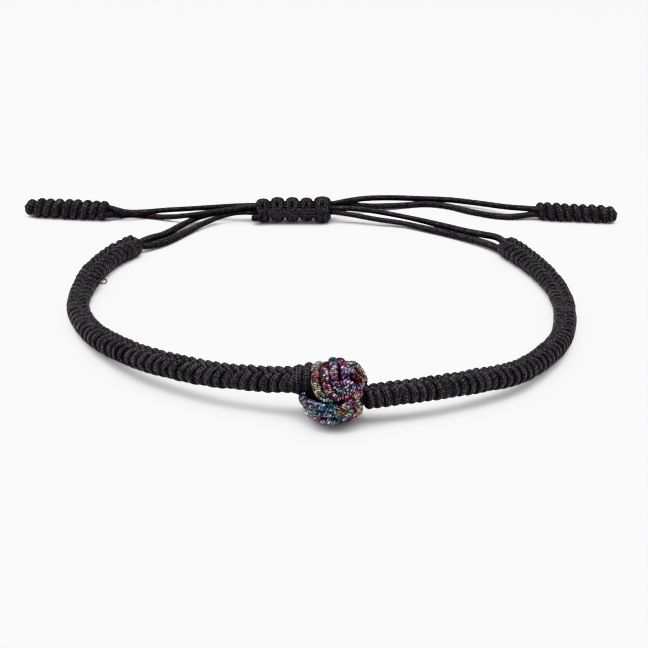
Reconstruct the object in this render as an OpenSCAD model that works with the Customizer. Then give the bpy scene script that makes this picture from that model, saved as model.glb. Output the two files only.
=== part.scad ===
// Knotted cord bracelet with a ball knot and a sliding knot, lying on a flat surface.
// Millimetres, +Z up. The origin is on the surface, in the middle of the bracelet's outline,
// with the ball knot at the front (-Y) and the sliding knot at the back (+Y).

/* [Bands] */
// Thickness of the two knotted bands, over the ribs
band_d = 3.7; // [3:0.1:4.2]
// Depth of the groove between two ribs
band_groove = 0.3; // [0.1:0.05:0.4]
// Number of ribs on the left band
left_ribs = 54; // [30:1:66]
// Number of ribs on the right band
right_ribs = 59; // [30:1:66]
// How far a rib leans along the band where it meets the seam, in rib pitches
rib_lean = 1.2; // [0:0.1:1.5]

/* [Ball knot] */
// Diameter of the ball knot, over its cords
ball_d = 10; // [9:0.1:10.4]
// Thickness of the metallic cord that the ball is tied from
ball_cord_d = 1.25; // [1:0.05:1.5]
// Thickness of the black neck between the ball and the right band
neck_d = 2.4; // [2:0.1:2.8]

/* [Sliding knot] */
// Thickness of the sliding knot, over its bulges
slide_d = 5.2; // [5:0.1:5.6]
// Bore through the sliding knot that holds the four cords
slide_bore = 2.5; // [2.45:0.05:2.8]

/* [Cords] */
// Thickness of the black cord
cord_d = 0.95; // [0.8:0.05:0.98]
// Thickness of the stopper knots on the two tails
end_knot_d = 3.7; // [3.4:0.1:4]
// Number of turns in a stopper knot
end_turns = 9; // [6:1:10]

/* [Hidden] */

// Gap between pieces that meet
seat_gap = 0.05;
black = [0.13, 0.12, 0.13];

// Centre line of each band from its back end to the ball: x, y, height
left_line = [
    [-33.3, 21.9, 1.88], [-38, 15.4, 1.88], [-40.4, 6.4, 1.88], [-40.2, -4.1, 2],
    [-36, -13.9, 2.45], [-28.9, -22.9, 3.7], [-21.9, -28.3, 4.4], [-14.7, -31.8, 4.9],
    [-7.6, -33.5, 5.4], [-0.8, -34.5, 5.9]];
right_line = [
    [34.1, 21.1, 1.88], [38, 13.5, 1.88], [40.6, 5, 1.88], [41, -4.4, 1.95],
    [38.3, -16.2, 2.3], [31.1, -26.7, 3.1], [23.7, -31.5, 4], [15.4, -34.7, 4.4],
    [7.2, -36.7, 4.35]];
// The neck runs on from the right band into the ball
neck_end = [4.6, -36.5, 4.1];

// Ball knot: its middle, and the tilt from which its passes are laid out
ball_centre = [2.2, -35.9, 4.85];
pass_tilt = 28;
// Cap that is left open for the left band: the way it faces and its distance from the middle
cap_dir = [-0.75, 0.45, 0.48];
cap_dist = 3.05;
// Each pass of the metallic cord over the near side: four points across and up from the middle
ball_passes = [
    [[-2.6, 4.2], [-2.7, 1.7], [-1.9, -0.5], [0, -1.5]],
    [[-1.1, 4.4], [-1.3, 1.8], [-1, 0.1], [1, -1.1]],
    [[-0.1, 4.7], [0, 3.1], [-0.4, 1.1], [1.3, -0.1]],
    [[1.1, 4.6], [1.3, 3.4], [1.3, 2.3], [0.7, 1.2]],
    [[2.3, 4.1], [3.7, 3.1], [4.5, 1.8], [4.7, 0.5]],
    [[2, 3.4], [2.7, 2.3], [3.6, 1.4], [4.2, 0.4]],
    [[1.3, 1.3], [2.3, 0.8], [3.3, 0.1], [3.9, -0.9]],
    [[1.1, 0.2], [2.1, -0.2], [3.1, -0.8], [3.6, -1.7]],
    [[1.4, -0.5], [1.8, -1.2], [2.4, -1.9], [2.7, -2.8]],
    [[3.1, -1.4], [3.9, -2.1], [3.9, -3.1], [3.3, -4.1]],
    [[2.4, -1.9], [1.6, -2.4], [1, -3], [0.7, -3.7]],
    [[2.7, -3], [1.8, -3.4], [1.3, -4], [1, -4.7]],
    [[-5, -0.9], [-3.7, -1.8], [-1.6, -2.2], [0.5, -2.5]],
    [[-4.4, -2.2], [-2.8, -3], [-1.1, -3.1], [0.7, -3.4]],
    [[-3.4, -3.2], [-1.9, -4.1], [-0.5, -4.4], [1, -4.4]]];
ball_rows = 26;
ball_columns = 44;
pass_steps = 7;

// Sliding knot: where it starts, its middle line, and each bulge's length and share of slide_d
slide_x = -12.4;
slide_y = 36.4;
slide_bulges = [[2.8, 0.9], [2.85, 0.97], [2.8, 0.97], [2.8, 0.96], [3.5, 1]];
slide_groove = 0.7;
// The cut end of the tying cord, on the first bulge
stub_d = 1.1;
stub_at = [-13.1, 35.2, 0.8];

// Stopper knots: outer end and cord end of each, x, y, height
left_end_line = [[-58.1, 38.6, 1.85], [-40.9, 37.1, 1.85]];
right_end_line = [[58.1, 35.8, 1.85], [42.1, 37.6, 1.85]];
end_groove = 0.4;

// Routes of the four cords, from a band through the sliding knot to a stopper knot
left_upper_route = [
    [-33.5, 22.3, 2.3], [-31.9, 24.6, 1.9], [-29.2, 28, 1.3], [-26.8, 31.9, 1], [-24.2, 35.1, 1],
    [-21, 36.8, 1.3], [-16.8, 37.2, 1.9], [-12.6, 36.92, 2.08], [-9.5, 36.92, 2.08],
    [-5, 37.14, 2.6], [-0.5, 36.92, 3.12], [2.6, 36.92, 3.12], [5.5, 38.4, 2.9], [9.5, 41.8, 2.2],
    [14.5, 44.3, 1.6], [20, 45.4, 1.3], [26, 44.9, 1.2], [31.5, 43, 1.2], [37, 40.2, 1.6],
    [41.9, 37.9, 2.2]];
left_lower_route = [
    [-32.8, 22, 1.4], [-31.2, 23.4, 1.1], [-28.3, 25.6, 0.9], [-25.2, 28.7, 0.8],
    [-22.5, 32.2, 1], [-19.5, 34.7, 1.5], [-16.2, 35.7, 1.9], [-12.6, 35.88, 2.08],
    [-9.5, 35.88, 2.08], [-5, 36.4, 1.86], [-0.5, 36.92, 2.08], [2.6, 36.92, 2.08], [6, 39.3, 1.7],
    [10.5, 41, 1], [15.5, 42.3, 0.7], [21, 43.2, 0.5], [25.5, 42.2, 0.5], [30, 39.4, 0.5],
    [35.5, 37.5, 0.5], [41.9, 37.2, 1.2]];
right_upper_route = [
    [34.35, 21.4, 2.3], [33, 24, 2.2], [30.5, 26.6, 2], [27.5, 29, 1.8], [23.5, 31.8, 1.6],
    [18.5, 34.2, 1.7], [13, 35.7, 2.2], [7.5, 36.1, 2.8], [2.6, 35.88, 3.12], [-0.5, 35.88, 3.12],
    [-5, 36.4, 3.34], [-9.5, 36.92, 3.12], [-12.6, 36.92, 3.12], [-16.5, 37.4, 2.9],
    [-21, 38.2, 2.4], [-25.5, 38.9, 1.8], [-30, 39.2, 1.4], [-34, 37.8, 1.55], [-37.5, 37.2, 1.8],
    [-40.6, 37.5, 2.25]];
right_lower_route = [
    [33.6, 21.2, 1.4], [31.4, 23, 1.2], [28, 25.6, 0.9], [24.5, 28.1, 0.8], [20.5, 30.6, 0.8],
    [16, 32.4, 1], [11, 33.9, 1.4], [6.5, 35.2, 1.9], [2.6, 35.88, 2.08], [-0.5, 35.88, 2.08],
    [-5, 35.66, 2.6], [-9.5, 35.88, 3.12], [-12.6, 35.88, 3.12], [-16.5, 35.6, 2.9],
    [-20.5, 35.1, 2.6], [-24.5, 35.1, 2], [-29, 36.4, 1], [-33.5, 37.9, 0.5], [-37.5, 38.3, 0.5],
    [-40.6, 37, 1.2]];

function unit(v) = v / norm(v);

// A point of the smooth curve through a list of points, t running from 0 to the last index
function extended(list, i) =
    i < 0 ? 2 * list[0] - list[1] :
    i >= len(list) ? 2 * list[len(list) - 1] - list[len(list) - 2] : list[i];
function on_curve(list, t) =
    let (i = min(floor(t), len(list) - 2), f = t - i,
         a = extended(list, i - 1), b = list[i], c = list[i + 1], d = extended(list, i + 2))
    0.5 * (2 * b + f * (c - a) + f * f * (2 * a - 5 * b + 4 * c - d)
           + f * f * f * (3 * b - a - 3 * c + d));

// The same curve as a table of length along it against t, for even spacing
curve_steps = 12;
function curve_table(list, n = 0, at = 0, last = undef) =
    let (t = n / curve_steps, p = on_curve(list, t), s = n == 0 ? 0 : at + norm(p - last))
    n == (len(list) - 1) * curve_steps ? [[s, t]] : concat([[s, t]], curve_table(list, n + 1, s, p));

// A ring of points round a place on a line, flattened and leaned as asked
function ring(centre, way, radius, sides, squash = 1, lean = 0) =
    let (side = unit(cross(way, [0, 0, 1])), up = cross(side, way))
    [for (k = [0:sides - 1])
        let (a = 360 * k / sides)
        centre + radius * (cos(a) * side - squash * sin(a) * up) + lean * pow(sin(a), 2) * way];

// Closed skin over a stack of rings
module skin(rings) {
    sides = len(rings[0]);
    last = len(rings) - 1;
    polyhedron(
        points = [for (r = rings) each r],
        faces = concat(
            [[for (k = [0:sides - 1]) k]],
            [[for (k = [sides - 1:-1:0]) last * sides + k]],
            [for (i = [0:last - 1], k = [0:sides - 1])
                let (a = i * sides + k, b = i * sides + (k + 1) % sides)
                each [[a, b + sides, b], [a, a + sides, b + sides]]]),
        convexity = 10);
}

// Knotted band: three rings to a rib, the ribs leaning together at the seams above and below
band_sides = 12;
rib_rings = [[0, 0], [0.3, 1], [0.7, 1]];
module ribbed_band(line, ribs) {
    table = curve_table(line);
    length = table[len(table) - 1][0];
    pitch = length / ribs;
    rings = [for (n = [0:ribs], r = rib_rings)
        if (n < ribs || r[0] == 0)
            let (s = (n + r[0]) * pitch, t = lookup(s, table),
                 way = unit(on_curve(line, min(t + 0.02, len(line) - 1))
                            - on_curve(line, max(t - 0.02, 0))),
                 free = min(1, s / (3 * pitch), (length - s) / (3 * pitch)))
            ring(on_curve(line, t), way, band_d / 2 - band_groove * (1 - r[1]), band_sides,
                 1, rib_lean * pitch * free)];
    skin(rings);
}

module left_band() {
    color(black) ribbed_band(left_line, left_ribs);
}

module right_band() {
    start = right_line[len(right_line) - 1];
    way = neck_end - start;
    color(black) {
        ribbed_band(right_line, right_ribs);
        translate(start - unit(way))
            rotate([0, acos(way.z / norm(way)), atan2(way.y, way.x)])
                cylinder(d = neck_d, h = norm(way) + 1, $fn = 32);
    }
}

// Ball knot: a sphere whose height follows the passes of cord laid over both of its sides
pass_r = ball_cord_d / 2;
pass_rise = ball_d / 2 - pass_r;
function from_view(q) =
    [q.x, q.y * sin(pass_tilt) - q.z * cos(pass_tilt), q.y * cos(pass_tilt) + q.z * sin(pass_tilt)];
function lifted(p) = [p.x, p.y, sqrt(max(0, pass_rise * pass_rise - p.x * p.x - p.y * p.y))];
pass_points = [for (p = ball_passes, s = [0:pass_steps])
    let (f = s / pass_steps, q = lifted(on_curve(p, f * (len(p) - 1))),
         sunk = 1 - 0.13 * pow(2 * f - 1, 4), at = pass_rise * sunk * unit(q))
    each [from_view(at), from_view([-at.x, at.y, -at.z])]];
function ball_radius(dir) =
    let (core = pass_rise - 0.1,
         cover = [for (p = pass_points)
             let (along = p * dir, off = norm(p - along * dir))
             if (along > 0 && off < pass_r) along + sqrt(pass_r * pass_r - off * off)],
         facing = dir * unit(cap_dir))
    min(max(concat([core], cover)), facing > 0.1 ? cap_dist / facing : ball_d);

module focal_knot() {
    rings = [for (i = [0:ball_rows])
        let (lat = -90 + 180 * (i + 0.5) / (ball_rows + 1))
        [for (k = [0:ball_columns - 1])
            let (lon = 360 * k / ball_columns,
                 dir = [cos(lat) * cos(lon), cos(lat) * sin(lon), sin(lat)])
            ball_centre + min(ball_radius(dir), dir.z < 0 ? ball_centre.z / -dir.z : ball_d) * dir]];
    band_end = left_line[len(left_line) - 1];
    way = unit(on_curve(left_line, len(left_line) - 1.1) - band_end);
    neck_start = right_line[len(right_line) - 1];
    neck_way = neck_start - neck_end;
    color([0.45, 0.3, 0.5]) difference() {
        skin(rings);
        translate(band_end - seat_gap * 3 * way)
            rotate([0, acos(way.z), atan2(way.y, way.x)])
                cylinder(d = band_d + 0.3, h = 8, $fn = 48);
        translate(neck_end - seat_gap * 2 * unit(neck_way))
            rotate([0, acos(neck_way.z / norm(neck_way)), atan2(neck_way.y, neck_way.x)])
                cylinder(d = neck_d + 0.2, h = 8, $fn = 32);
    }
}

// Row of bulges along a straight line: four rings to a bulge
bulge_rings = [[0, 0], [0.2, 0.75], [0.5, 1], [0.8, 0.75]];
knot_sides = 12;
module bulges(start, way, lengths, radii, groove, tip) {
    count = len(lengths);
    starts = [for (i = 0, s = 0; i < count; s = s + lengths[i], i = i + 1) s];
    whole = starts[count - 1] + lengths[count - 1];
    rings = concat(
        [ring(start, way, tip, knot_sides)],
        [for (i = [0:count - 1], r = bulge_rings)
            if (i > 0 || r[0] > 0)
                ring(start + (starts[i] + r[0] * lengths[i]) * way, way,
                     radii[i] - groove * (1 - r[1]), knot_sides)],
        [ring(start + whole * way, way, tip, knot_sides)]);
    skin(rings);
}

module slide_knot() {
    color(black) difference() {
        union() {
            bulges([slide_x, slide_y, slide_d / 2], [1, 0, 0], [for (b = slide_bulges) b[0]],
                   [for (b = slide_bulges) b[1] * slide_d / 2], slide_groove, slide_d / 2 - slide_groove);
            translate(stub_at) rotate([0, 90, 0]) cylinder(d = stub_d, h = 2, $fn = 24);
        }
        translate([slide_x - 1, slide_y, slide_d / 2]) rotate([0, 90, 0])
            cylinder(d = slide_bore, h = 20, $fn = 48);
    }
}

module end_knot(line) {
    run = line[1] - line[0];
    color(black)
        bulges(line[0], unit(run), [for (i = [1:end_turns]) norm(run) / end_turns],
               [for (i = [1:end_turns]) end_knot_d / 2], end_groove, end_knot_d * 0.3);
}

// Free cord: one tube along its route
cord_sides = 8;
module cord(route) {
    last = len(route) - 1;
    color(black) skin([for (i = [0:last])
        let (way = unit(route[min(i + 1, last)] - route[max(i - 1, 0)]))
        ring(route[i], way, cord_d / 2, cord_sides)]);
}

left_band();
right_band();
focal_knot();
slide_knot();
end_knot(left_end_line);  // left_end_knot
end_knot(right_end_line);  // right_end_knot
cord(left_upper_route);  // left_cord_upper
cord(left_lower_route);  // left_cord_lower
cord(right_upper_route);  // right_cord_upper
cord(right_lower_route);  // right_cord_lower
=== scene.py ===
"""Knotted cord bracelet with a metallic ball knot, lying on a pale surface.

Lengths in the tables are millimetres in the model's own frame and are scaled to metres when a mesh
is made, and angles in them are degrees. Everything is built turn by turn from swept strands.
"""
import math

import bpy
import numpy as np
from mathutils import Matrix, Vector


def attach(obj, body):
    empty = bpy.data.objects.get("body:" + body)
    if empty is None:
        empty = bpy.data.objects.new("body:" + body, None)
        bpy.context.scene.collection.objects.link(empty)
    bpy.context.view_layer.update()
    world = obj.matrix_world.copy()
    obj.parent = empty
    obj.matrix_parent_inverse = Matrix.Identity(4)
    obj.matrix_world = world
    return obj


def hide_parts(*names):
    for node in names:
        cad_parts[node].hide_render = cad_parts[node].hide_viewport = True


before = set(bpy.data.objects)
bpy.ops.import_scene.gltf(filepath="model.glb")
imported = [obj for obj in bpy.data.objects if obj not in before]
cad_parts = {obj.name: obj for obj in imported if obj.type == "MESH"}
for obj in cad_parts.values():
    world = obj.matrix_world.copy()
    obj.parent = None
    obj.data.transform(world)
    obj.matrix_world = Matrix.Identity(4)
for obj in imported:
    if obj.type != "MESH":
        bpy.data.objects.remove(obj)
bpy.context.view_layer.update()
MM = 0.001
rng = np.random.default_rng(7)


def placed(name, data):
    """A new object of the scene for a mesh, a light or a camera."""
    made = bpy.data.objects.new(name, data)
    bpy.context.scene.collection.objects.link(made)
    return made


# Camera: the photograph's height above the floor and its field of view
TARGET = Vector((0.9, -6.25, 0.0)) * MM
DISTANCE = 216.2 * MM
ELEVATION = math.radians(28)
FIELD_OF_VIEW = math.radians(28)
camera = placed("camera", bpy.data.cameras.new("camera"))
camera.location = TARGET + DISTANCE * Vector((0, -math.cos(ELEVATION), math.sin(ELEVATION)))
camera.rotation_euler = (math.pi / 2 - ELEVATION, 0, 0)
camera.data.angle = FIELD_OF_VIEW
camera.data.clip_start = 0.005
bpy.context.scene.camera = camera


# Curves and strands
LINE_SAMPLES = 60
SIDES, CORE_SIDES = 14, 16
ACROSS, NEAR, UP = np.array([[1.0, 0, 0], [0, -1.0, 0], [0, 0, 1.0]])


def unit(v):
    """The same vectors at length one."""
    return v / np.maximum(np.linalg.norm(v, axis=-1, keepdims=True), 1e-12)


def around(angle, side, up):
    """Unit vectors at the given angles, from side at 0 to up at a quarter turn."""
    return np.cos(angle)[:, None] * side + np.sin(angle)[:, None] * up


def full_turn(count):
    """Angles once round, both ends included."""
    return np.radians(np.linspace(-180, 180, count))


def repeated(vector, count):
    """One row of the same vector for each of count rings."""
    return np.tile(vector, (count, 1))


def weave_start():
    """Where in its weave a strand starts, in mm along it, so that no two strands match."""
    return rng.uniform(0, 5)


def smooth(low, high, x):
    """0 up to low and 1 from high on, with a soft step between."""
    t = np.clip((x - low) / (high - low), 0, 1)
    return t * t * (3 - 2 * t)


def catmull(points, t):
    """Points of the smooth curve through a list of points, t from 0 to the last index."""
    p = np.asarray(points, float)
    p = np.vstack([2 * p[0] - p[1], p, 2 * p[-1] - p[-2]])
    i = np.clip(np.floor(t).astype(int), 0, len(p) - 4)
    f = (t - i)[:, None]
    a, b, c, d = p[i], p[i + 1], p[i + 2], p[i + 3]
    return 0.5 * (2 * b + f * (c - a) + f**2 * (2 * a - 5 * b + 4 * c - d)
                  + f**3 * (3 * b - a - 3 * c + d))


class Line:
    """A smooth line that can be asked for its place, heading, side and up at any length along it.

    It runs on straight past both ends. turn is 1 where the side is on the walker's right.
    """

    def __init__(self, points, turn=1):
        self.p = catmull(points, np.linspace(0, len(points) - 1, LINE_SAMPLES * len(points)))
        step = np.linalg.norm(np.diff(self.p, axis=0), axis=1)
        self.s = np.concatenate([[0], np.cumsum(step)])
        self.length = self.s[-1]
        self.way = unit(np.gradient(self.p, self.s, axis=0))
        self.turn = turn

    def at(self, s):
        """Place, heading, side and up at the lengths s."""
        s = np.asarray(s, float)
        inner = np.clip(s, 0, self.length)
        place = np.stack([np.interp(inner, self.s, self.p[:, k]) for k in range(3)], -1)
        way = unit(np.stack([np.interp(inner, self.s, self.way[:, k]) for k in range(3)], -1))
        place = place + (s - inner)[..., None] * way
        side = unit(np.cross(way, UP)) * self.turn
        up = np.cross(side, way) * self.turn
        return place, way, side, up


class Shape:
    """Collects swept strands and becomes one mesh object with a UV layer that follows the strands."""

    def __init__(self):
        self.verts, self.faces, self.uvs, self.tints = [], [], [], []
        self.count = 0

    def strand(self, centre, wide, deep, width, depth, sides=SIDES, power=2.0, relief=None,
               uv_start=0.0, tint=None):
        """Sweeps a rounded section along centre. wide and deep are unit vectors across it, and
        width and depth its full sizes, each one value or one a ring. power above 2 squares the
        section, relief scales it and tint colours it by length along and angle round."""
        n = len(centre)
        width = np.broadcast_to(width, (n,))[:, None]
        depth = np.broadcast_to(depth, (n,))[:, None]
        angle = 2 * np.pi * np.arange(sides) / sides
        c, s = np.cos(angle), np.sin(angle)
        c = np.sign(c) * np.abs(c) ** (2 / power)
        s = np.sign(s) * np.abs(s) ** (2 / power)
        run = np.concatenate([[0], np.cumsum(np.linalg.norm(np.diff(centre, axis=0), axis=1))])
        swell = 1.0 if relief is None else relief(run[:, None], angle[None, :])
        points = (centre[:, None, :]
                  + (swell * width / 2 * c)[..., None] * wide[:, None, :]
                  + (swell * depth / 2 * s)[..., None] * deep[:, None, :])
        base = self.count
        self.verts.append(points.reshape(-1, 3))
        i, k = np.meshgrid(np.arange(n - 1), np.arange(sides), indexing="ij")
        j = (k + 1) % sides
        quads = np.stack([i * sides + k, i * sides + j, (i + 1) * sides + j, (i + 1) * sides + k], -1)
        self.faces.append((quads.reshape(-1, 4) + base).tolist())
        u0, u1 = run[i] + uv_start, run[i + 1] + uv_start
        v0, v1 = k / sides, (k + 1) / sides
        self.uvs.append(np.stack([u0, v0, u0, v1, u1, v1, u1, v0], -1).reshape(-1, 2))
        ends = [list(range(base + sides - 1, base - 1, -1)),
                list(range(base + (n - 1) * sides, base + n * sides))]
        self.faces.append(ends)
        self.uvs.append(np.full((2 * sides, 2), uv_start))
        if tint is not None:
            self.tints.append(tint(run[:, None], angle[None, :]).reshape(-1, 4))
        self.count += n * sides

    def swept(self, centre, normal, width, depth, tilt=0.0, **more):
        """The same, with the section's depth along normal as nearly as the strand's heading allows,
        then rolled about the strand by tilt radians."""
        way = unit(np.gradient(centre, axis=0))
        wide = unit(np.cross(way, normal))
        deep = np.cross(wide, way)
        c, s = np.cos(tilt), np.sin(tilt)
        self.strand(centre, c * wide + s * deep, c * deep - s * wide, width, depth, **more)

    def round_strand(self, line, s, thickness, sides=SIDES):
        """A round strand along a line, with a ring at each length in s."""
        place, way, side, up = line.at(s)
        self.strand(place, side, up, thickness, thickness, sides)

    def build(self, name, material, replaces=()):
        """Makes the mesh object of all the strands and hands it to the frame."""
        mesh = bpy.data.meshes.new(name)
        verts = np.vstack(self.verts) * MM
        faces = [f for block in self.faces for f in block]
        mesh.from_pydata(verts.tolist(), [], faces)
        mesh.uv_layers.new(name="strand").data.foreach_set("uv", np.vstack(self.uvs).ravel())
        if self.tints:
            layer = mesh.color_attributes.new("tint", "FLOAT_COLOR", "POINT")
            layer.data.foreach_set("color", np.vstack(self.tints).ravel())
        mesh.polygons.foreach_set("use_smooth", [len(f) == 4 for f in faces])
        mesh.materials.append(material)
        mesh.update()
        piece = placed(name, mesh)
        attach(piece, "root")
        if replaces:
            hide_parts(*replaces)
        return piece


# Materials
# A mix node's sockets for the factor and both colours, and for the mixed colour
MIX_INPUTS, MIX_OUTPUT = (0, 6, 7), 2


class Graph:
    """Short hand for building a material's nodes."""

    def __init__(self, name):
        self.material = bpy.data.materials.new(name)
        self.material.use_nodes = True
        self.tree = self.material.node_tree
        self.shader = self.tree.nodes["Principled BSDF"]

    def node(self, kind, **inputs):
        """A new node, with values or links for its inputs. A name's underscores stand for spaces."""
        made = self.tree.nodes.new(kind)
        for key, value in inputs.items():
            self.feed(made.inputs[key.replace("_", " ")], value)
        return made

    def feed(self, socket, value):
        if isinstance(value, bpy.types.NodeSocket):
            self.tree.links.new(value, socket)
        else:
            socket.default_value = value

    def math(self, operation, *values):
        made = self.tree.nodes.new("ShaderNodeMath")
        made.operation = operation
        for socket, value in zip(made.inputs, values):
            self.feed(socket, value)
        return made.outputs[0]

    def span(self, value, low, high, to_low=0.0, to_high=1.0):
        """Value carried from the range low to high into the range to_low to to_high."""
        made = self.node("ShaderNodeMapRange", Value=value)
        limits = {"From Min": low, "From Max": high, "To Min": to_low, "To Max": to_high}
        for key, number in limits.items():
            made.inputs[key].default_value = number
        return made.outputs[0]

    def noise(self, scale, spread, to_low=0.0, to_high=1.0, vector=None):
        """Noise whose range of spread either side of its middle is carried to to_low to to_high."""
        made = self.node("ShaderNodeTexNoise", Scale=scale, Detail=1.0)
        self.feed(made.inputs["Vector"], vector or self.node("ShaderNodeTexCoord").outputs["Object"])
        return self.span(made.outputs["Fac"], 0.5 - spread, 0.5 + spread, to_low, to_high)

    def mix(self, factor, a, b, blend="MIX"):
        made = self.tree.nodes.new("ShaderNodeMix")
        made.data_type, made.blend_type = "RGBA", blend
        for index, value in zip(MIX_INPUTS, (factor, a, b)):
            self.feed(made.inputs[index], value)
        return made.outputs[MIX_OUTPUT]

    def set(self, **inputs):
        for key, value in inputs.items():
            self.feed(self.shader.inputs[key.replace("_", " ")], value)

    def bump(self, height, distance):
        made = self.node("ShaderNodeBump", Height=height, Distance=distance, Strength=1.0)
        self.feed(self.shader.inputs["Normal"], made.outputs[0])


# The nylon's plait: strands round it and the length in mm that one takes to come round
PLAITS, LAY = 5, 0.66


def black_cord(name, low, high):
    """Black braided nylon between two colours, with painted shade between the plaits and on a strand's
    sides, and the crowns painted a lighter grey; the crowns are also shinier. The strand UVs give u
    in mm along and v once round. The scales of the noises are patches to a metre, apart from the
    hairs', which run along the strand."""
    g = Graph(name)
    split = g.node("ShaderNodeSeparateXYZ", Vector=g.node("ShaderNodeUVMap").outputs[0])
    u, v = split.outputs[0], split.outputs[1]
    wander = g.noise(1500, 0.2, -0.75, 0.75)
    along = g.math("MULTIPLY_ADD", u, 2 * math.pi / LAY, wander)
    turn = g.math("MULTIPLY_ADD", v, 2 * math.pi * PLAITS, g.math("MULTIPLY", wander, 0.8))
    one = g.math("COSINE", g.math("ADD", along, turn))
    two = g.math("COSINE", g.math("SUBTRACT", along, turn))
    crown = g.math("MULTIPLY_ADD", g.math("MULTIPLY", one, two), 0.5, 0.5)
    hairs = g.node("ShaderNodeCombineXYZ", X=g.math("MULTIPLY", u, 0.9), Y=g.math("MULTIPLY", v, 17.0))
    hair = g.noise(1.0, 0.2, 0.6, 1.25, hairs.outputs[0])
    fleck = g.noise(3300, 0.16, 0.4, 1.38)
    cloud = g.noise(420, 0.15, 0.88, 1.12)
    # Painted shade: the colour follows the plait, darker in the grooves between plaits and lighter on
    # the crowns
    height = g.span(crown, 0.0, 1.0, 0.15, 1.0)
    # Painted shade on a strand's sides, away from its outermost line, with a little painted light along
    # that line
    outer = g.math("COSINE", g.math("MULTIPLY_ADD", v, 2 * math.pi, -math.pi / 2))
    height = g.math("MULTIPLY", height, g.span(outer, 0.1, 0.95, 0.6, 1.12))
    light = g.math("MULTIPLY", g.math("MULTIPLY", height, fleck), g.math("MULTIPLY", hair, cloud))
    tone = g.mix(g.noise(260, 0.15), (1.03, 0.985, 1.03, 1), (0.985, 1.01, 0.995, 1))
    g.set(Base_Color=g.mix(1.0, g.mix(light, low, high), tone, "MULTIPLY"),
          Roughness=g.span(light, 0.0, 0.8, 0.85, 0.45), Specular_IOR_Level=0.16)
    g.bump(g.math("MULTIPLY_ADD", hair, 0.3, crown), 0.00007)
    return g.material


def metallic_cord():
    """Metallic thread wound over a cord, its colour carried by the mesh, painted shade and painted
    highlights included.
    """
    g = Graph("metallic_thread")
    tint = g.node("ShaderNodeAttribute")
    tint.attribute_name = "tint"
    grain = g.noise(6000, 0.15, 0.55, 1.3)
    g.set(Base_Color=g.mix(1.0, tint.outputs["Color"], grain, "MULTIPLY"),
          Metallic=0.6, Roughness=0.36, Specular_IOR_Level=0.2)
    return g.material


def plain(name, colour, roughness, specular):
    """One colour all over."""
    g = Graph(name)
    g.set(Base_Color=colour, Roughness=roughness, Specular_IOR_Level=specular)
    return g.material


BLACK = black_cord("braided_nylon", (0.0015, 0.0013, 0.0015, 1), (0.064, 0.061, 0.0635, 1))
KNOTTED = black_cord("knotted_nylon", (0.0012, 0.001, 0.0012, 1), (0.052, 0.0495, 0.0515, 1))
METALLIC = metallic_cord()
# The ball's dark inside, made near black as painted shade in the gaps between its passes
CORE_AND_SHADE = plain("knot_core", (0.004, 0.0033, 0.0033, 1), 0.9, 0.3)

# Cords
RING_EVERY = 0.3
# How far a cord runs on unseen into its band and into its stopper knot
IN_BAND, IN_KNOT = 0.3, 1.8
# Each cord from its band through the sliding knot to the other side's stopper knot
ROUTES = {
    "left_cord_upper": [
        [-33.5, 21.6, 2.1], [-31.9, 23.8, 1.9], [-29.2, 27.35, 1.3], [-26.8, 31.8, 1],
        [-24.2, 35.35, 1], [-21, 37, 1.3], [-16.8, 37.3, 2], [-12.6, 37.1, 2.3], [-9.5, 36.92, 2.2],
        [-5, 37.14, 2.6], [-0.5, 36.92, 3.3], [2.6, 37.4, 3.4], [5.5, 39.2, 3.2], [9.5, 42.4, 2.4],
        [14.5, 44.35, 1.7], [20, 44.9, 1.3], [26, 44.5, 1.2], [31.5, 42.85, 1.2], [37, 39.9, 1.6],
        [41.9, 37.5, 2.2]],
    "left_cord_lower": [
        [-32.8, 21.95, 1.3], [-31.2, 22.9, 1.1], [-28.3, 25.6, 0.9], [-25.2, 29.8, 0.8],
        [-22.5, 32.9, 1], [-19.5, 35, 1.5], [-16.2, 36.1, 1.9], [-12.6, 35.88, 2.08],
        [-9.5, 35.88, 2.08], [-5, 36.4, 1.86], [-0.5, 36.92, 2.3], [2.6, 37.2, 2.6], [6, 39.8, 2],
        [10.5, 41.5, 1.1], [15.5, 42.7, 0.75], [21, 43.8, 0.55], [25.5, 42.7, 0.5], [30, 39.85, 0.5],
        [35.5, 37.5, 0.5], [41.9, 37.2, 1.2]],
    "right_cord_upper": [
        [34.35, 21.4, 2.3], [33, 24, 2.2], [30.5, 25.8, 2], [27.5, 27.75, 1.8], [23.5, 30.8, 1.6],
        [18.5, 33.65, 1.7], [13, 35.3, 2.2], [7.5, 36.1, 2.75], [2.6, 36.1, 2.95], [-0.5, 35.88, 3.2],
        [-5, 36.4, 3.34], [-9.5, 36.92, 3.3], [-12.6, 37.1, 3.2], [-16.5, 37.5, 2.9],
        [-21, 37.9, 2.4], [-25.5, 38.55, 1.8], [-30, 38.85, 1.4], [-34, 37.6, 1.55], [-37.5, 36.8, 1.8],
        [-40.6, 37.5, 2.25]],
    "right_cord_lower": [
        [33.6, 20.7, 1.1], [31.4, 23.45, 1.1], [28, 26.4, 0.9], [24.5, 28.9, 0.8], [20.5, 31.2, 0.8],
        [16, 33.35, 1], [11, 34.3, 1.4], [6.5, 35.2, 1.9], [2.6, 35.88, 2.2], [-0.5, 35.88, 2.08],
        [-5, 35.66, 2.6], [-9.5, 35.88, 3.12], [-12.6, 36.1, 3.3], [-16.5, 35.8, 3],
        [-20.5, 35.1, 2.6], [-24.5, 35.1, 2], [-29, 36.4, 1], [-33.5, 37.9, 0.5], [-37.5, 38.65, 0.5],
        [-40.6, 37, 1.2]]}
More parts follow.
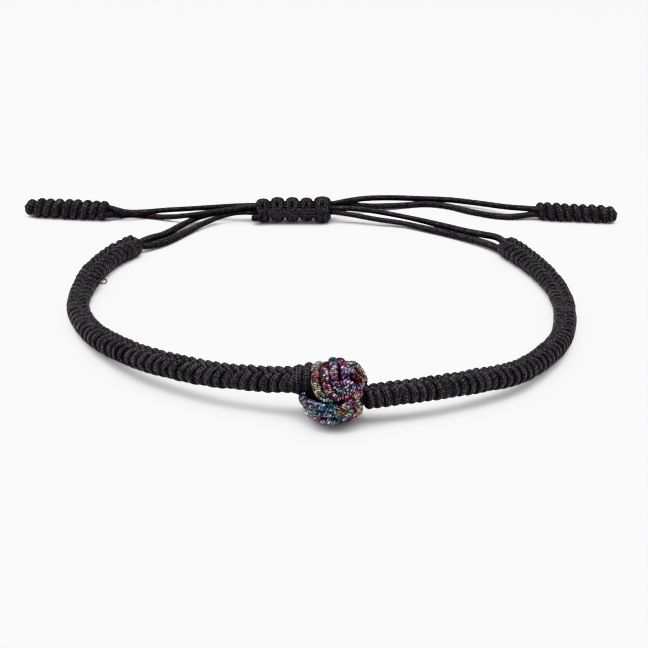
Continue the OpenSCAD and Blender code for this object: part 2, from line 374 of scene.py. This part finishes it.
# Shares of a cord's length and its thickness there, for the cords of each band
THICK = {"left": ([0, 0.04, 0.1, 0.16, 0.24, 0.48, 0.56, 1],
                  [1.2, 1.5, 1.45, 1.2, 0.95, 0.98, 1.2, 1.22]),
         "right": ([0, 0.14, 0.2, 0.27, 0.44, 0.68, 0.75, 0.92, 1],
                   [1.38, 1.36, 1.26, 1.08, 1.04, 0.95, 1.05, 1.12, 1.35])}


def make_cord(name, route):
    """One of the four loose cords, kept on or above the floor."""
    line = Line(route)
    s = np.linspace(-IN_BAND, line.length + IN_KNOT, int(line.length / RING_EVERY))
    place, way, side, up = line.at(s)
    thick = np.interp(s / line.length, *THICK[name.split("_")[0]])
    place[:, 2] = np.maximum(place[:, 2], thick / 2)
    shape = Shape()
    shape.strand(place, side, up, thick, thick, uv_start=weave_start())
    piece = shape.build(name + "_strand", BLACK, [name])


for name, route in ROUTES.items():
    make_cord(name, route)

# Bands, whose turns lie in two columns, one outside and one inside the loop
LEFT_LINE = [[-33.55, 21.45, 1.88], [-37.7, 15.4, 1.88], [-40.25, 6.4, 1.88], [-40.2, -4.1, 2],
             [-36, -13.9, 2.45], [-28.9, -22.75, 3.7], [-21.9, -27.8, 4.4], [-14.7, -31.4, 4.9],
             [-7.6, -33.5, 5.4], [-0.8, -34.5, 5.9]]
RIGHT_LINE = [[34.1, 21.1, 1.88], [38, 13.5, 1.88], [40.6, 5, 1.88], [41, -4.4, 1.95],
              [38.3, -16.2, 2.3], [31.1, -26.7, 3.1], [23.7, -31.5, 4], [15.4, -34.7, 4.4],
              [6.3, -36.8, 4.3]]
# Tables of share of a band's length against a value there. pace is the distance between turns and
# girth the radius to the middle of a turn's cord. seam is the angle of the seam between the columns
# on top, from 0 outward to 90 up. vertex is the angle off a column's middle at which a turn comes
# furthest back, and lean is how far its ends run towards the ball, in pitches.
BANDS = {
    "left_band": dict(
        line=Line(LEFT_LINE, 1), turns=54,
        pace=([0, 0.5, 1], [1.53, 1.46, 1.35]),
        girth=([0, 0.04, 0.1, 0.18, 0.27, 0.38, 0.46, 0.78, 0.85, 0.92, 1],
               [1.6, 1.55, 1.52, 1.56, 1.38, 1.35, 1.43, 1.45, 1.34, 1.46, 1.49]),
        seam=([0, 0.4, 0.6, 0.8, 1], [101, 101, 85, 68, 60]),
        vertex=([0, 0.6, 1], [0, 0, 10]),
        lean=([0, 0.5, 0.8, 1], [1.3, 1.3, 1.1, 1.0])),
    "right_band": dict(
        line=Line(RIGHT_LINE, -1), turns=60,
        pace=([0, 0.4, 1], [1.45, 1.30, 1.27]),
        girth=([0, 0.12, 0.2, 0.34, 0.45, 1], [1.60, 1.48, 1.37, 1.34, 1.34, 1.31]),
        seam=([0, 0.5, 0.7, 1], [102, 102, 88, 75]),
        vertex=([0, 0.5, 1], [0, 0, -10]),
        lean=([0, 0.4, 0.8, 1], [1.5, 1.3, 0.6, 0.45]))}
# The same for both bands: a turn's width in pitches, and how far it is rolled over the one before
FULLNESS = ([0.35, 0.55], [1.06, 1.2])
ROLL = ([0, 0.35, 0.55], [4, 6, 20])
TURN_DEPTH, LEAST_WIDTH = 1.1, 0.72
# A turn reaches WRAP_HALF either side of its column's middle, and sinks by DIVE from DIVE_FROM on
WRAP_HALF, DIVE_FROM, DIVE = 112, 66, 0.62
# The first turn of each column stands back from the band's end and is a little thinner
FIRST_STEP, FIRST_SINK = 0.4, 0.08
# How unevenly the turns lie, in pitches, are sunk, in mm, and are rolled, in degrees
UNEVEN, UNEVEN_SINK, UNEVEN_ROLL = 0.06, (-0.06, 0.05), 4
# The left band's last two turns: how far back from its end, and their radius, then their section
COLLAR_TURNS, COLLAR_TURN = ((1.9, 1.6), (0.5, 1.92)), (1.45, 1.35)
# A stray filament on the left band: a loop and a straight bit
FRAYS = [[[-39.2, 6.9, 2.4], [-38.1, 6.2, 2.3], [-37.3, 6.3, 2.2], [-36.8, 5.5, 2.1], [-37.1, 4.6, 2.1],
          [-38, 4.7, 2.2], [-39.1, 5.3, 2.3]],
         [[-38.9, 5.2, 2.4], [-38.1, 6.6, 2.5], [-37.9, 8.6, 2.3], [-37.6, 10.4, 2]]]


def turn_places(line, turns, pace):
    """A function from a turn's number to its length along the line."""
    s = np.linspace(0, line.length, 400)
    count = np.concatenate([[0], np.cumsum(1 / np.interp((s[1:] + s[:-1]) / 2 / line.length, *pace))])
    count *= turns / count[-1]
    return lambda turn: np.interp(turn, count, s)


def band_column(node, column, line, turns, pace, girth, seam, vertex, lean):
    """One column of nested turns. Each is rolled so that its edge away from the ball stands out over
    the one before. The inner column's turns lie half a pitch further on than the outer one's."""
    inner = column == "inner"
    place_of = turn_places(line, turns, pace)
    shape = Shape()
    for turn in range(turns):
        number = turn + (0.5 if inner else 0.0)
        first = turn == 0
        s0 = place_of(number) + (FIRST_STEP if first else 0)
        pitch = place_of(min(number + 0.5, turns)) - place_of(max(number - 0.5, 0))
        pitch *= 2 if number < 0.25 or number > turns - 0.25 else 1
        share = s0 / line.length
        face = np.interp(share, *seam) + (90 if inner else -90)
        tip = np.interp(share, *vertex) * (-1 if inner else 1)
        # The last turns lean less, so that their ends don't run past the band's
        room = (line.length + 0.4 - s0) / (2.5 * pitch)
        amount = np.interp(share, *lean) * min(1, room)
        psi = np.linspace(-WRAP_HALF, WRAP_HALF, 50)
        along = s0 + pitch * amount * ((psi - tip) / 90) ** 2 + rng.uniform(-UNEVEN, UNEVEN) * pitch
        place, way, side, up = line.at(along)
        normal = around(np.radians(face + psi), side, up)
        middle = np.interp(share, *girth) - (FIRST_SINK if first else 0)
        place[:, 2] = np.maximum(place[:, 2], middle + 0.5)
        sunk = DIVE * smooth(DIVE_FROM, WRAP_HALF, np.abs(psi))
        radius = middle + rng.uniform(*UNEVEN_SINK) - sunk
        slope = np.gradient(along, np.radians(psi)) / radius
        width = np.interp(share, *FULLNESS) * pitch / np.sqrt(1 + slope**2)
        roll = math.radians(np.interp(share, *ROLL) + rng.uniform(-UNEVEN_ROLL, UNEVEN_ROLL))
        roll *= -1 if inner == (line.turn > 0) else 1
        shape.swept(place + radius[:, None] * normal, normal, np.maximum(width, LEAST_WIDTH),
                    TURN_DEPTH, tilt=roll, power=2.3, uv_start=weave_start())
    shape.build(node + "_" + column, BLACK, [node])


def band_core(node, reach):
    """The cords inside a band, which close the gaps between its turns, round off its back end and
    reach on into the ball."""
    line = BANDS[node]["line"]
    back = 0.35
    s = np.linspace(0, 1, 140) ** 1.5 * (line.length + reach + back) - back
    thickness = np.interp(s, [-back, -0.25, 0, 0.4, 0.9, 1.8], [1, 1.9, 2.8, 3.4, 3.6, 2.5])
    shape = Shape()
    shape.round_strand(line, s, thickness, CORE_SIDES)
    shape.build(node + "_core", BLACK)


def collar():
    """The left band's last two turns, which stand up round it beside the ball."""
    line = BANDS["left_band"]["line"]
    shape = Shape()
    a = full_turn(61)
    for back, reach in COLLAR_TURNS:
        place, way, side, up = line.at(line.length - back + 0.2 * np.cos(a - 0.6))
        normal = around(a, side, up)
        shape.swept(place + reach * normal, normal, *COLLAR_TURN, uv_start=weave_start())
    shape.build("left_band_collar", BLACK, ["left_band"])


def stray_filament():
    """The fine filament that stands off the left band's inner side."""
    shape = Shape()
    for points in FRAYS:
        line = Line(points)
        shape.round_strand(line, np.linspace(0, line.length, 40), 0.2, sides=8)
    shape.build("left_band_stray_filament", BLACK)


for column in ("outer", "inner"):
    for node, band in BANDS.items():
        band_column(node, column, **band)
band_core("left_band", 1.0)
band_core("right_band", 3.0)
collar()
stray_filament()

# Ball knot, made of passes of metallic cord
BALL_CENTRE = np.array([2.2, -35.9, 5.12])
BALL_R, PASS_R = 5.35, 0.62
BALL_RISE = BALL_R - PASS_R
# Width and depth of a pass's section, and how far its ends are tucked in
PASS_SECTION, TUCK = (1.3, 1.25), 0.9
# The core's radius and half its height, just short of its poles
CORE_R, CORE_HALF = 3.8, 3.75
THREAD = {
    "mauve": (0.42, 0.16, 0.34), "pink": (0.80, 0.30, 0.42), "rose": (0.55, 0.08, 0.17),
    "red": (0.35, 0.03, 0.03), "rust": (0.45, 0.13, 0.05), "gold": (0.80, 0.48, 0.16),
    "olive": (0.42, 0.36, 0.14), "cream": (0.85, 0.78, 0.60), "green": (0.30, 0.52, 0.34),
    "teal": (0.08, 0.36, 0.38), "aqua": (0.42, 0.78, 0.74), "blue": (0.16, 0.34, 0.62),
    "lavender": (0.52, 0.46, 0.78), "purple": (0.24, 0.08, 0.36), "magenta": (0.52, 0.05, 0.30),
    "white": (0.90, 0.88, 0.86), "navy": (0.05, 0.09, 0.24)}
# Each pass over the near side: points across and up from the middle, its lift, and its run of colours
PASSES = [
    ([[-2.35, 4.1], [-2.45, 2.4], [-2.35, 0.9], [-1.75, -0.5], [-0.35, -1.4]], 0.30,
     "mauve white white pink cream pink white rose pink olive cream gold cream teal aqua aqua"),
    ([[-1.15, 4.2], [-1.15, 2.4], [-0.95, 0.9], [-0.25, -0.55], [1.05, -1.05]], 0.22,
     "olive cream mauve rose rust mauve cream mauve rose pink gold mauve lavender pink cream"),
    ([[-0.1, 4.75], [0.05, 3], [0.15, 1.4], [0.75, 0]], 0.26,
     "teal white aqua aqua teal purple blue mauve cream mauve purple rose blue aqua blue"),
    ([[1, 4.6], [1.35, 3.3], [1.6, 2.3], [1.7, 1.3]], 0.24,
     "cream cream rose pink rose mauve lavender purple lavender navy"),
    ([[2.3, 4.1], [3.7, 3.1], [4.5, 1.8], [4.7, 0.5]], 0.10,
     "cream green mauve pink gold cream mauve purple"),
    ([[2, 3.4], [2.7, 2.3], [3.6, 1.4], [4.2, 0.4]], 0.16,
     "cream olive cream mauve rose red cream mauve purple"),
    ([[1.3, 1.3], [2.3, 0.8], [3.3, 0.1], [3.9, -0.9]], 0.26,
     "purple mauve blue lavender magenta mauve pink mauve"),
    ([[1.3, 0.3], [2.2, -0.15], [3.05, -0.55], [3.6, -1.2]], 0.22,
     "blue aqua blue magenta gold cream gold gold cream"),
    ([[1.35, -0.35], [1.85, -1], [2.35, -1.7], [2.75, -2.6]], 0.08,
     "purple magenta pink magenta red red"),
    ([[3, -1.3], [3.45, -2.2], [3.5, -3.1], [2.9, -4.1]], 0.26,
     "lavender lavender gold gold cream white olive cream"),
    ([[2.4, -1.75], [1.7, -2.2], [1.1, -2.7], [0.7, -3.3]], 0.26,
     "white lavender cream rust gold cream green"),
    ([[2.6, -2.75], [2.1, -3.1], [1.5, -3.5], [0.7, -4]], 0.22,
     "green cream green aqua teal aqua teal"),
    ([[3, -3.4], [2.6, -3.75], [2.1, -4.1], [1.4, -4.6]], 0.06,
     "mauve pink magenta pink lavender blue"),
    ([[-5, -0.9], [-3.7, -1.8], [-1.6, -2.2], [0.5, -2.5]], 0.22,
     "blue lavender blue purple mauve lavender blue blue aqua blue"),
    ([[-4.4, -2.2], [-2.8, -3], [-1.1, -3.1], [0.7, -3.4]], 0.20,
     "purple mauve aqua blue aqua blue purple blue lavender lavender"),
    ([[-3.4, -3.2], [-1.9, -4.1], [-0.5, -4.4], [1, -4.4]], 0.16,
     "mauve pink magenta pink magenta lavender lavender aqua blue lavender mauve")]


def lifted(points):
    """Points over the near side of the ball, seen from the camera, put on the sphere of BALL_RISE."""
    q = np.column_stack([points, np.sqrt(np.maximum(0, BALL_RISE**2 - (points**2).sum(1)))])
    return q * (BALL_RISE / np.linalg.norm(q, axis=1))[:, None]


def from_view(q):
    """Across, up and towards the camera, turned into the model's own axes."""
    sine, cosine = math.sin(ELEVATION), math.cos(ELEVATION)
    return np.column_stack([q[:, 0], q[:, 1] * sine - q[:, 2] * cosine,
                            q[:, 1] * cosine + q[:, 2] * sine])


# The length of one wrap of thread, the dashes of colour round it and how many colours they may jump
WRAP, DASHES, JUMP = 0.32, 14, 2.4
# How much of the colours' saturation is kept, and the share of dashes given a painted white highlight
SATURATION, PAINTED_GLARE_SHARE = 0.6, 0.13
# The ball's back is pressed flat where it meets the left band's end
FLAT_WAY, FLAT_AT = unit(np.array([-0.75, 0.45, 0.48])), 2.6


def off_crown(angle):
    """Angle round a pass away from the line along its outside, up to pi either way."""
    return (angle + np.pi / 2) % (2 * np.pi) - np.pi


def wrap_phase(run, angle):
    """The thread is braided, so that it slants to either side of the middle of a pass."""
    return run / WRAP - 1.3 * np.abs(off_crown(angle)) / (np.pi / 2)


def wraps(run, angle):
    """Relief of a pass: a ridge for each wrap and a fine groove along its outside."""
    groove = 0.05 * np.exp(-(off_crown(angle) / 0.25) ** 2)
    return 1 - groove - 0.07 * np.cos(2 * np.pi * wrap_phase(run, angle))


def hashed(a, b, c):
    """A steady random number from 0 to 1 for each set of whole numbers."""
    x = np.sin(a * 12.9898 + b * 78.233 + c * 37.719) * 43758.5453
    return x - np.floor(x)


def thread(names, length, seed):
    """Colour of the metallic thread at any place on a pass: short dashes that keep to the run of
    colours but jump about it, most of them dark, with painted shade in the grooves between wraps
    and a painted white highlight on the crests of a few."""
    colours = np.array([THREAD[n] for n in names.split()])
    grey = colours @ [[0.21], [0.72], [0.07]]
    colours = grey + SATURATION * (colours - grey)

    def tint(run, angle):
        phase = wrap_phase(run, angle)
        wrap = np.floor(phase)
        dash = np.floor(off_crown(angle) / (2 * np.pi) * DASHES + 0.5 * hashed(wrap, seed, 1))
        pick = run / length * (len(colours) - 1) + JUMP * (hashed(wrap, dash, seed) - 0.5)
        colour = colours[np.clip(np.round(pick), 0, len(colours) - 1).astype(int)]
        crest = 0.5 - 0.5 * np.cos(2 * np.pi * phase)
        # Painted shade: each dash darkens from the crest of its wrap into the groove between wraps
        value = (0.16 + hashed(wrap, dash, seed + 2) ** 2) * (0.10 + 0.9 * crest**1.5)
        # Painted highlight: white glare on the crests of a few dashes
        painted_glare = (hashed(wrap, dash, seed + 3) > 1 - PAINTED_GLARE_SHARE) * crest**3 * 0.5
        rgb = colour * value[..., None] + painted_glare[..., None]
        return np.concatenate([rgb, crest[..., None]], axis=-1)

    return tint


def ball_passes():
    """The passes over the near side and, turned half round, the same over the far side."""
    shape = Shape()
    t = np.linspace(0, 1, 110)
    for far in (False, True):
        for number, (points, lift, run) in enumerate(PASSES):
            q = lifted(catmull(points, t * (len(points) - 1)))
            if far:
                q = q * [-1, 1, -1]
            direction = unit(from_view(q))
            height = lift - 0.15 - TUCK * np.abs(2 * t - 1) ** 5
            offset = (BALL_RISE + height)[:, None] * direction
            if far:
                offset = offset - np.maximum(0, offset @ FLAT_WAY - FLAT_AT)[:, None] * FLAT_WAY
            centre = BALL_CENTRE + offset
            length = np.linalg.norm(np.diff(centre, axis=0), axis=1).sum()
            shape.swept(centre, direction, *PASS_SECTION, sides=24, relief=wraps,
                        tint=thread(run, length, number + 40 * far), uv_start=weave_start())
    shape.build("ball_knot_passes", METALLIC, ["focal_knot"])


def ball_core():
    """The inside of the ball, seen between its passes: dark, and made near black as painted shade in
    the deep gaps between them.
    """
    height = np.linspace(-CORE_HALF, CORE_HALF, 24)
    thickness = 2 * np.sqrt(CORE_R**2 - height**2)
    shape = Shape()
    shape.strand(BALL_CENTRE + height[:, None] * UP, repeated(ACROSS, 24), repeated(-NEAR, 24),
                 thickness, thickness, sides=32)
    shape.build("ball_knot_core", CORE_AND_SHADE, ["focal_knot"])


ball_passes()
ball_core()

# Sliding knot, lying along X, whose angles run from the near side at 0 to the top at 90
SLIDE_AXIS, SLIDE_R = np.array([0, 36.4, 2.6]), 2.5
# Each bulge: its middle and length along X, its size and its middle's height above the axis
BULGES = [(-10.96, 2.8, 0.93, -0.2), (-8.11, 2.75, 0.97, 0), (-5.26, 2.65, 0.97, 0),
          (-2.5, 2.6, 0.95, 0), (0.58, 3.35, 1.03, 0)]
WRAP_DEPTH = 1.9
# The two wraps of a bulge part round the angle SPLIT: fully as near to it as the first of PARTED,
# and not at all beyond the second
SPLIT, PARTED = 47, (22, 40)
BAR_ANGLES, BAR_HALF = (38, 52, 66), 0.95
# Both ends of the cords in the middle, their thickness, and the belly's, a cord along the near side
SLIDE_ENDS = (-12, 1.9)
SLIDE_CORE, BELLY, BELLY_OUT = 2.9, 2.2, 1.4
# The cut end of the knot's own cord, which stands out at its left
STUB = [[-13.1, 34.5, 1.55], [-12.4, 34.45, 1.6], [-11.4, 34.5, 1.7]]


def slider_bulges(shape):
    """The two wraps of each square knot run together into one fat bulge and part on its near side."""
    a = full_turn(73)
    off = np.degrees(np.angle(np.exp(1j * (a - math.radians(SPLIT)))))
    parted = 1 - smooth(*PARTED, np.abs(off))
    normal = around(a, NEAR, UP)
    for middle, length, size, rise in BULGES:
        for hand in (-1, 1):
            apart = hand * length * (0.03 + 0.21 * parted)
            reach = SLIDE_R * size + rng.uniform(-0.04, 0.04) - WRAP_DEPTH / 2
            centre = SLIDE_AXIS + [middle, 0, rise] + reach * normal + apart[:, None] * ACROSS
            shape.swept(centre, normal, length * (0.94 - 0.5 * parted), WRAP_DEPTH, sides=16,
                        power=2.1, uv_start=weave_start())


def slider_bars(shape):
    """Short bars of cord that cross from bulge to bulge on the near side."""
    t = np.linspace(-1, 1, 16)
    for before, after in zip(BULGES, BULGES[1:]):
        gap = (before[0] + before[1] / 2 + after[0] - after[1] / 2) / 2
        for angle in BAR_ANGLES:
            out = repeated(around(np.radians([angle]), NEAR, UP), 16)
            rise = SLIDE_R - 0.5 - 0.4 * t**4
            centre = SLIDE_AXIS + (gap + BAR_HALF * t)[:, None] * ACROSS + rise[:, None] * out
            shape.swept(centre, out, 0.5, 0.6, sides=12, uv_start=weave_start())


def slide_knot():
    """Square knots lying on their side, the cords through them, the belly and one cut end."""
    shape = Shape()
    slider_bulges(shape)
    slider_bars(shape)
    centre = SLIDE_AXIS + np.linspace(*SLIDE_ENDS, 30)[:, None] * ACROSS
    wide, deep = repeated(-NEAR, len(centre)), repeated(UP, len(centre))
    shape.strand(centre, wide, deep, SLIDE_CORE, SLIDE_CORE, CORE_SIDES)
    belly = centre[4:-2] + BELLY_OUT * NEAR
    wide, deep = repeated(-UP, len(belly)), repeated(NEAR, len(belly))
    shape.strand(belly, wide, deep, BELLY, BELLY, CORE_SIDES, uv_start=2)
    stub = Line(STUB)
    s = np.linspace(0, stub.length, 14)
    shape.round_strand(stub, s, np.interp(s, [0, 0.15, 0.45], [0.7, 1.15, 1.35]))
    shape.build("slide_knot_wraps", KNOTTED, ["slide_knot"])


slide_knot()

# Stopper knots: the middles of their outer and inner ends, at half their thickness above the floor
END_KNOTS = {"left_end_knot": ([-57.6, 39.2, 1.95], [-41.25, 37.3, 1.95]),
             "right_end_knot": ([57.6, 35.9, 1.78], [42.45, 37.6, 1.78])}
END_TURNS, END_DEPTH, END_CORE = 9, 2.0, 2.6


def end_knot(name, outer, inner):
    """Leaning turns, the visible side of each running down and outwards. The first and the last lean
    less, and the first is smaller."""
    line = Line([outer, inner])
    shape = Shape()
    pitch = line.length / END_TURNS
    a = full_turn(61)
    normal = around(a, NEAR, UP)
    for turn in range(END_TURNS):
        lean = pitch * (0.15 if turn in (0, END_TURNS - 1) else 0.27)
        s = (turn + 0.5 + rng.uniform(-0.05, 0.05)) * pitch + lean * np.sin(a - math.radians(28))
        place = line.at(s)[0]
        reach = outer[2] * (0.86 if turn == 0 else 1.0) + rng.uniform(-0.06, 0.06)
        shape.swept(place + (reach - END_DEPTH / 2) * normal, normal, 1.06 * pitch, END_DEPTH,
                    uv_start=weave_start())
    s = np.linspace(-0.35, line.length - 0.3, 30)
    rounded = np.sqrt(np.clip((s + 0.4) / 1.4, 0.02, 1))
    shape.round_strand(line, s, END_CORE * rounded, CORE_SIDES)
    shape.build(name + "_turns", KNOTTED, [name])


for name, (outer, inner) in END_KNOTS.items():
    end_knot(name, outer, inner)

# Floor
FLOOR_HALF = 3.0
corners = [(FLOOR_HALF * x, FLOOR_HALF * y, 0) for x, y in ((-1, -1), (1, -1), (1, 1), (-1, 1))]
floor_mesh = bpy.data.meshes.new("floor")
floor_mesh.from_pydata(corners, [], [(0, 1, 2, 3)])
floor_mesh.materials.append(plain("pale_floor", (0.93, 0.93, 0.93, 1), 0.9, 0.1))
floor = placed("floor", floor_mesh)

# Light: a white studio all round and one strip softbox overhead, facing straight down
world = bpy.data.worlds.new("studio")
bpy.context.scene.world = world
world.use_nodes = True
background = world.node_tree.nodes["Background"]
background.inputs["Color"].default_value = (1, 1, 1, 1)
background.inputs["Strength"].default_value = 0.6

strip = bpy.data.lights.new("strip_softbox", "AREA")
strip.shape = "RECTANGLE"
strip.size = 1.4
strip.size_y = 0.5
strip.energy = 8
placed("strip_softbox", strip).location = (-0.15, -0.05, 0.5)

view = bpy.context.scene.view_settings
view.view_transform = "Khronos PBR Neutral"
view.look = "None"
